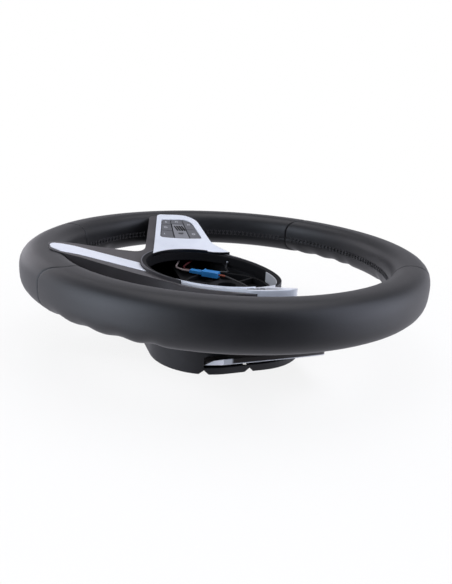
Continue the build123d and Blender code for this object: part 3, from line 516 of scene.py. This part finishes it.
def paddleFinish(name):
    material, start = startMaterial(name)
    where = place(start)
    x, y, z = axes(start, where)
    out = abs(x)
    wedge = (out - paddle["wedgeAt"][0]) * paddle["wedgeSlope"] + paddle["wedgeAt"][1] - z
    end = y.ramp(*paddle["brightEndY"], 1.0, 0.0) * wedge.ramp(0, paddle["wedgeSoft"])
    edge = (out - paddle["lineAt"][0]) * paddle["lineSlope"] + paddle["lineAt"][1] - z
    line = out.ramp(*paddle["lineInner"]) * edge.ramp(0, paddle["lineSoft"])
    bright = start.maths("MAXIMUM", end, line)
    # dark brown away from the bright wedge and line: painted shade on the front face
    dark = 1 - bright
    fine = fineGrain(start, where, paddle["scale"])
    colour = mixColour(start, bright, paddle["frontPaintedShade"], paddle["brightColour"])
    roughness = varied(paddle["rough"], fine, dark * paddle["spread"]) - bright * paddle["brightSmooth"]
    endMaterial(start, colour, roughness, fine * dark, paddle["bump"], edge=paddle["edge"],
                fixed={"Metallic": bright * paddle["brightMetal"]})
    return material


# the airbag springs are dark, with bright metal at the tip above a set height
spring = {
    "tipZ": (0.0455, 0.0465),
    "dark": (0.02, 0.02, 0.021, 1),
    "bright": (0.75, 0.76, 0.78, 1),
    "scale": 900.0,
    "detail": 3.0,
    "rough": 0.32,
    "spread": 0.15,
    "bump": 0.00003,
}


def springFinish(name):
    material, start = startMaterial(name)
    where = place(start)
    tip = axes(start, where)[2].ramp(*spring["tipZ"])
    fine = noise(start, where, spring["scale"], spring["detail"])
    colour = mixColour(start, tip, spring["dark"], spring["bright"])
    roughness = varied(spring["rough"], fine, spring["spread"])
    endMaterial(start, colour, roughness, fine, spring["bump"], fixed={"Metallic": tip})
    return material


# the orange lead turns near-black a little way from its socket: painted shade where it runs into the dark
# well
orange = {
    "exit": (-0.025, 0.0, 0.0415),
    # distance from the socket over which the orange gives way to painted shade
    "bare": (0.0075, 0.008),
    "colour": (0.26, 0.042, 0.011, 1),
    "paintedShade": (0.010, 0.010, 0.010, 1),
    "scale": 1500.0,
    "detail": 3.0,
    "rough": 0.45,
    "spread": 0.1,
    "bump": 0.00004,
}


def orangeFinish(name):
    material, start = startMaterial(name)
    where = place(start)
    gone = start.node("ShaderNodeVectorMath", {"operation": "DISTANCE"},
                      {0: where, 1: orange["exit"]}, out=1)
    fine = noise(start, where, orange["scale"], orange["detail"])
    # orange near the socket, painted shade beyond
    colour = mixColour(start, gone.ramp(*orange["bare"]), orange["colour"], orange["paintedShade"])
    endMaterial(start, colour, varied(orange["rough"], fine, orange["spread"]), fine, orange["bump"])
    return material


# a pad's own axes: square to it, and outward along it
joints = {row["name"]: row for row in frame["record"]["behaviour"]["joints"]}


def padAxes(side):
    square = -Vector(joints[f"button_upper_inner_{side}_press"]["axis"])
    outward = Vector((0, 1, 0)).cross(square) * (1 if side == "right" else -1)
    return square, outward


def along(start, apart, axis):
    return start.node("ShaderNodeVectorMath", {"operation": "DOT_PRODUCT"}, {0: apart, 1: axis}, out=1)


def awayFrom(start, where, centre):
    return start.node("ShaderNodeVectorMath", {"operation": "SUBTRACT"}, {0: where, 1: centre})


# the rockers are paler than the keys, with dark raised marks
rockerLook = {
    "pale": (0.22, 0.223, 0.235, 1),
    "mark": (0.006, 0.006, 0.006, 1),
    "markDull": 0.45,
    "markRise": 0.00745,  # over the hinge, square to the pad
    "capFall": 0.047,
    "markY": 0.0013,
    "markReach": 0.0070,
    "markInner": -0.0060,
    "rough": 0.42,
    "spread": 0.1,
    "bump": 0.00005,
    "edge": 0.0004,
}


def rockerFinish(name, side):
    hinge = Vector(joints[f"rocker_{side}_tilt"]["pos_m"])
    square, outward = padAxes(side)
    material, start = startMaterial(name)
    where = place(start)
    apart = awayFrom(start, where, hinge)
    up = axes(start, apart)[1]
    middle = abs(up - rockerLook["markY"]) < rockerLook["markReach"]
    middle = middle * (along(start, apart, outward) > rockerLook["markInner"])
    mark = (along(start, apart, square) + up * rockerLook["capFall"] > rockerLook["markRise"]) * middle
    fine = fineGrain(start, where)
    colour = mixColour(start, mark, rockerLook["pale"], rockerLook["mark"])
    roughness = varied(rockerLook["rough"], fine, rockerLook["spread"]) + mark * rockerLook["markDull"]
    endMaterial(start, colour, roughness, fine, rockerLook["bump"], edge=rockerLook["edge"])
    return material


# each key carries one plain pale sign in the middle of its cap
keyLook = {
    "dark": (0.105, 0.107, 0.115, 1),
    "pale": (0.135, 0.137, 0.145, 1),
    "sign": (0.62, 0.63, 0.65, 1),
    "half": 0.0015,
    "line": 0.00032,
    "pairApart": 0.6,  # of the half size
    "capDepth": 0.0012,
    "rough": 0.42,
    "spread": 0.1,
    "bump": 0.00005,
    "signs": {
        "lower_inner": "bar",
        "lower_middle": "ring",
        "lower_outer": "plus",
        "centre_outer": "pair",
        "upper_inner": "ring",
        "upper_outer": "pair",
    },
}


def keySign(start, kind, over, up):
    half, line = keyLook["half"], keyLook["line"]
    if kind == "ring":
        return abs((over ** 2 + up ** 2) ** 0.5 - half) < line
    if kind == "pair":
        return (abs(over) < half) * (abs(abs(up) - half * keyLook["pairApart"]) < line)
    flat = (abs(over) < half) * (abs(up) < line)
    if kind == "plus":
        return start.maths("MAXIMUM", flat, (abs(up) < half) * (abs(over) < line))
    return flat


def keyFinish(name, key, side):
    square, outward = padAxes(side)
    points = [vertex.co for vertex in nodes[f"button_{key}_{side}"].data.vertices]
    top = max(point.dot(square) for point in points)
    cap = [point for point in points if point.dot(square) > top - keyLook["capDepth"]]
    over = [point.dot(outward) for point in cap]
    up = [point.y for point in cap]
    middle = Vector((0, (min(up) + max(up)) / 2, 0))
    centre = outward * (min(over) + max(over)) / 2 + middle + square * top
    material, start = startMaterial(name)
    where = place(start)
    apart = awayFrom(start, where, centre)
    sign = keySign(start, keyLook["signs"][key], along(start, apart, outward), axes(start, apart)[1])
    sign = sign * (along(start, where, square) > top - keyLook["capDepth"])
    fine = fineGrain(start, where)
    body = mixColour(start, broadGrain(start, where), keyLook["dark"], keyLook["pale"])
    colour = mixColour(start, sign, body, keyLook["sign"])
    endMaterial(start, colour, varied(keyLook["rough"], fine, keyLook["spread"]), fine, keyLook["bump"])
    return material


# finishes by slot, then those of single nodes
finishes = {slot: mouldedFinish(**look) for slot, look in moulded.items()}
finishes["leather"] = leatherFinish("satinLeather")
finishes["steel"] = steelFinish("plainSteel")
finishes["frame_plastic"] = spokeFinish("spokePlastic")
finishes["silver_trim"] = silverFinish("silverLacquer")
finishes["paddle_plastic"] = paddleFinish("paddlePlastic")
finishes["lead_orange"] = orangeFinish("orangeLeadShadedAway")
slotOf = {row["node"]: row["material_slot"] for row in frame["record"]["subparts"]}
springWire = springFinish("springWire")
ownFinishes = {}
for side in ("left", "right"):
    ownFinishes[f"airbag_spring_{side}"] = springWire
    ownFinishes[f"rocker_{side}"] = rockerFinish(f"rocker{side.title()}Plastic", side)
    for key in keyLook["signs"]:
        ownFinishes[f"button_{key}_{side}"] = keyFinish(f"{key}{side.title()}Key", key, side)
for name, node in nodes.items():
    node.data.materials.clear()
    node.data.materials.append(ownFinishes[name] if name in ownFinishes else finishes[slotOf[name]])
print("finishes on", len(nodes), "nodes")

# soft edges on the strip, keys, connector and plate
edges = {
    "widths": {"lower_strip": 0.0009, "button_": 0.0003, "connector_": 0.0003, "bare_plate": 0.0003},
    "merge": 0.000002,
    "flatDegrees": 1.5,
    "sharpDegrees": 40,
    "segments": 3,
}


def softenEdges(node, width):
    weld = node.modifiers.new("weld", "WELD")
    weld.merge_threshold = edges["merge"]
    flat = node.modifiers.new("flat", "DECIMATE")
    flat.decimate_type = "DISSOLVE"
    flat.angle_limit = math.radians(edges["flatDegrees"])
    soft = node.modifiers.new("soft", "BEVEL")
    soft.limit_method = "ANGLE"
    soft.angle_limit = math.radians(edges["sharpDegrees"])
    soft.width = width
    soft.segments = edges["segments"]
    soft.use_clamp_overlap = False
    node.modifiers.new("normals", "WEIGHTED_NORMAL")


for name, node in nodes.items():
    for head, width in edges["widths"].items():
        if name.startswith(head) and not name.startswith("button_guide"):
            softenEdges(node, width)
print("edges softened")

# leather rim, four panels stitched together along the inner wall
rim = {
    "radius": 0.168,
    "planeZ": 0.062,
    "halfWidth": 0.01695,
    "halfHeight": 0.0190,
    "square": 2.88,
    "around": 72,
    "stepDegrees": 0.9,
    "seamDrop": 0.003,
    "crowd": 0.86,
    "roll": 0.0010,
    "rollReach": 0.0018,
    "endOffsets": (0.0, 0.00025, 0.0006, 0.0010, 0.0015, 0.0022, 0.0035),
    "endGap": 0.00012,
    "panels": {
        "rim_panel_top": (-38.0, 38.0),
        "rim_panel_right": (38.0, 157.0),
        "rim_panel_bottom": (157.0, 215.0),
        "rim_panel_left": (215.0, 322.0),
    },
    "grips": ((122.0, 159.0), (201.0, 238.0), (319.0, 353.0), (7.0, 41.0)),
    "gripPeriod": 8.6,
    "gripEase": 5.0,
    "gripFrom": 0.35,  # the grips fade in round the underside
    "gripSpan": 0.5,
    "gripDepth": 0.0014,
    "swell": 0.0048,  # the rim stands out a little at 6 o'clock
    "swellReach": 38.0,
    "outerLeans": {157.0: 4.8},  # seams that lean over on the outer wall, in degrees
    "innerLeans": {322.0: -5.0, 38.0: 5.0},
    "leanReach": 24.0,
    "smoothDegrees": 50,
}


def smooth(value):
    value = min(max(value, 0.0), 1.0)
    return value * value * (3 - 2 * value)


def rolled(distance):
    reach = rim["rollReach"]
    if distance >= reach:
        return 0.0
    return rim["roll"] * (1 - math.sqrt(1 - (1 - distance / reach) ** 2))


def gripWave(clock):
    clock = clock % 360
    for low, high in rim["grips"]:
        if low <= clock <= high:
            ease = smooth((clock - low) / rim["gripEase"]) * smooth((high - clock) / rim["gripEase"])
            return ease * (0.5 - 0.5 * math.cos(2 * math.pi * (clock - low) / rim["gripPeriod"]))
    return 0.0


def leanAt(clock, leans):
    total = 0.0
    for seam, lean in leans.items():
        apart = abs((clock - seam + 180) % 360 - 180)
        total += lean * smooth(1 - apart / rim["leanReach"])
    return total


def rimPoint(clock, turn, endDistance):
    # turn runs once round the section from the lacing seam on the inner wall
    crowded = turn - rim["crowd"] * math.sin(turn)
    polar = math.pi + math.atan2(rim["seamDrop"], rim["halfWidth"]) + crowded
    across = abs(math.cos(polar)) / rim["halfWidth"]
    upright = abs(math.sin(polar)) / rim["halfHeight"]
    reach = (across ** rim["square"] + upright ** rim["square"]) ** (-1 / rim["square"])
    seamDistance = reach * min(crowded, 2 * math.pi - crowded)
    reach -= rolled(seamDistance) + rolled(endDistance)
    under = smooth((-math.sin(polar) - rim["gripFrom"]) / rim["gripSpan"])
    reach -= rim["gripDepth"] * gripWave(clock) * under
    outward = max(math.cos(polar), 0.0)
    out = rim["radius"] + reach * math.cos(polar)
    out += rim["swell"] * smooth(1 - abs(clock - 180) / rim["swellReach"]) * smooth(outward)
    lean = leanAt(clock, rim["outerLeans"]) * smooth(outward)
    lean += leanAt(clock, rim["innerLeans"]) * smooth(-math.cos(polar))
    bearing = math.radians(clock + lean)
    height = rim["planeZ"] + reach * math.sin(polar)
    return Vector((out * math.sin(bearing), out * math.cos(bearing), height))


def makeRimPanel(name, low, high):
    ends = [math.degrees(offset / rim["radius"]) for offset in rim["endOffsets"]]
    gap = math.degrees(rim["endGap"] / rim["radius"])
    first, last = low + gap, high - gap
    span = last - first - 2 * ends[-1]
    middleSteps = round(span / rim["stepDegrees"])
    inner = [first + ends[-1] + span * step / middleSteps for step in range(1, middleSteps)]
    clocks = [first + end for end in ends] + inner + [last - end for end in reversed(ends)]
    bpy.ops.object.select_all(action="DESELECT")
    bpy.ops.mesh.primitive_circle_add(vertices=rim["around"], radius=rim["halfWidth"],
                                      location=(rim["radius"], 0, 0), rotation=(math.pi / 2, 0, 0))
    panel = bpy.context.object
    panel.name = name + "_leather"
    bpy.ops.object.transform_apply(location=True, rotation=True, scale=True)
    bpy.ops.object.mode_set(mode="EDIT")
    bpy.ops.mesh.select_all(action="SELECT")
    bpy.ops.mesh.spin(steps=len(clocks) - 1, angle=math.pi, center=(0, 0, 0), axis=(0, 0, 1))
    bpy.ops.object.mode_set(mode="OBJECT")
    stepAngle = math.pi / (len(clocks) - 1)
    for vertex in panel.data.vertices:
        flat = vertex.co.xy.length
        bearing = abs(math.atan2(vertex.co.y, vertex.co.x))
        ring = round(bearing / stepAngle)
        section = math.atan2(vertex.co.z, flat - rim["radius"])
        turn = (section - math.pi) % (2 * math.pi)
        clock = clocks[ring]
        endDistance = math.radians(min(clock - first, last - clock)) * rim["radius"]
        vertex.co = rimPoint(clock, turn, endDistance)
    bpy.ops.object.mode_set(mode="EDIT")
    bpy.ops.mesh.select_all(action="DESELECT")
    bpy.ops.mesh.select_non_manifold()
    bpy.ops.mesh.edge_face_add()
    bpy.ops.mesh.select_all(action="SELECT")
    bpy.ops.mesh.normals_make_consistent(inside=False)
    bpy.ops.object.mode_set(mode="OBJECT")
    bpy.ops.object.shade_smooth_by_angle(angle=math.radians(rim["smoothDegrees"]))
    panel.data.materials.append(finishes["leather"])
    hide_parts(name)
    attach(panel, "wheel")


for panelName, (panelLow, panelHigh) in rim["panels"].items():
    makeRimPanel(panelName, panelLow, panelHigh)
print("leather rim made")

# lacing: crossed stitches over the seam on the inner wall, clear of the three spokes
lacing = {
    "pitchDegrees": 1.85,
    "thread": 0.00042,
    "half": 0.0029,
    "bow": 0.0007,
    "sink": 0.0004,
    "slant": 0.0015,
    "sides": 6,
    "cuts": 4,
    "smoothDegrees": 60,
    "finish": {
        "name": "waxedThread", "dark": (0.026, 0.026, 0.028, 1), "pale": (0.048, 0.048, 0.052, 1),
        "rough": 0.38, "scale": 2200.0, "bump": 0.0001,
    },
    "runs": {
        "lacing_top": (-41.5, 41.5),
        "lacing_upper_right": (44.5, 85.0),
        "lacing_lower_right": (109.5, 155.5),
        "lacing_bottom_right": (158.5, 171.5),
        "lacing_bottom_left": (188.5, 213.5),
        "lacing_lower_left": (216.5, 250.5),
        "lacing_upper_left": (275.0, 315.5),
    },
}


def makeThread(name, slant):
    seamZ = rim["planeZ"] - rim["seamDrop"]
    wall = rim["radius"] - rim["halfWidth"]
    bpy.ops.object.select_all(action="DESELECT")
    bpy.ops.mesh.primitive_cylinder_add(vertices=lacing["sides"], radius=lacing["thread"],
                                        depth=2 * lacing["half"], location=(wall, 0, seamZ))
    thread = bpy.context.object
    thread.name = name
    bpy.ops.object.transform_apply(location=True)
    bpy.ops.object.mode_set(mode="EDIT")
    bpy.ops.mesh.select_mode(type="EDGE")
    bpy.ops.mesh.select_all(action="DESELECT")
    bpy.ops.object.mode_set(mode="OBJECT")
    for edge in thread.data.edges:
        low, high = [thread.data.vertices[corner].co.z for corner in edge.vertices]
        edge.select = abs(high - low) > lacing["half"]
    bpy.ops.object.mode_set(mode="EDIT")
    bpy.ops.mesh.subdivide(number_cuts=lacing["cuts"])
    bpy.ops.object.mode_set(mode="OBJECT")
    for vertex in thread.data.vertices:
        share = (vertex.co.z - seamZ) / lacing["half"]
        vertex.co.x += lacing["sink"] * share ** 4 - lacing["bow"] * (1 - share ** 2)
        vertex.co.y += slant * share
    return thread


def makeLacing(name, low, high):
    count = int((high - low) / lacing["pitchDegrees"])
    threads = [makeThread(name + str(side), side * lacing["slant"]) for side in (-1, 1)]
    bpy.ops.object.select_all(action="DESELECT")
    for thread in threads:
        thread.select_set(True)
    bpy.context.view_layer.objects.active = threads[0]
    bpy.ops.object.join()
    lace = bpy.context.object
    lace.name = name
    step = bpy.data.objects.new("laceStep", None)
    scene.collection.objects.link(step)
    step.rotation_euler = (0, 0, -math.radians(lacing["pitchDegrees"]))
    row = lace.modifiers.new("row", "ARRAY")
    row.use_relative_offset = False
    row.use_object_offset = True
    row.offset_object = step
    row.count = count
    bpy.ops.object.modifier_apply(modifier=row.name)
    bpy.data.objects.remove(step)
    start = (low + high - (count - 1) * lacing["pitchDegrees"]) / 2
    lace.data.transform(Matrix.Rotation(math.radians(90 - start), 4, "Z"))
    bpy.ops.object.shade_smooth_by_angle(angle=math.radians(lacing["smoothDegrees"]))
    lace.data.materials.append(threadFinish)
    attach(lace, "wheel")


threadFinish = mouldedFinish(**lacing["finish"])
for laceName, (laceLow, laceHigh) in lacing["runs"].items():
    makeLacing(laceName, laceLow, laceHigh)
print("lacing made")
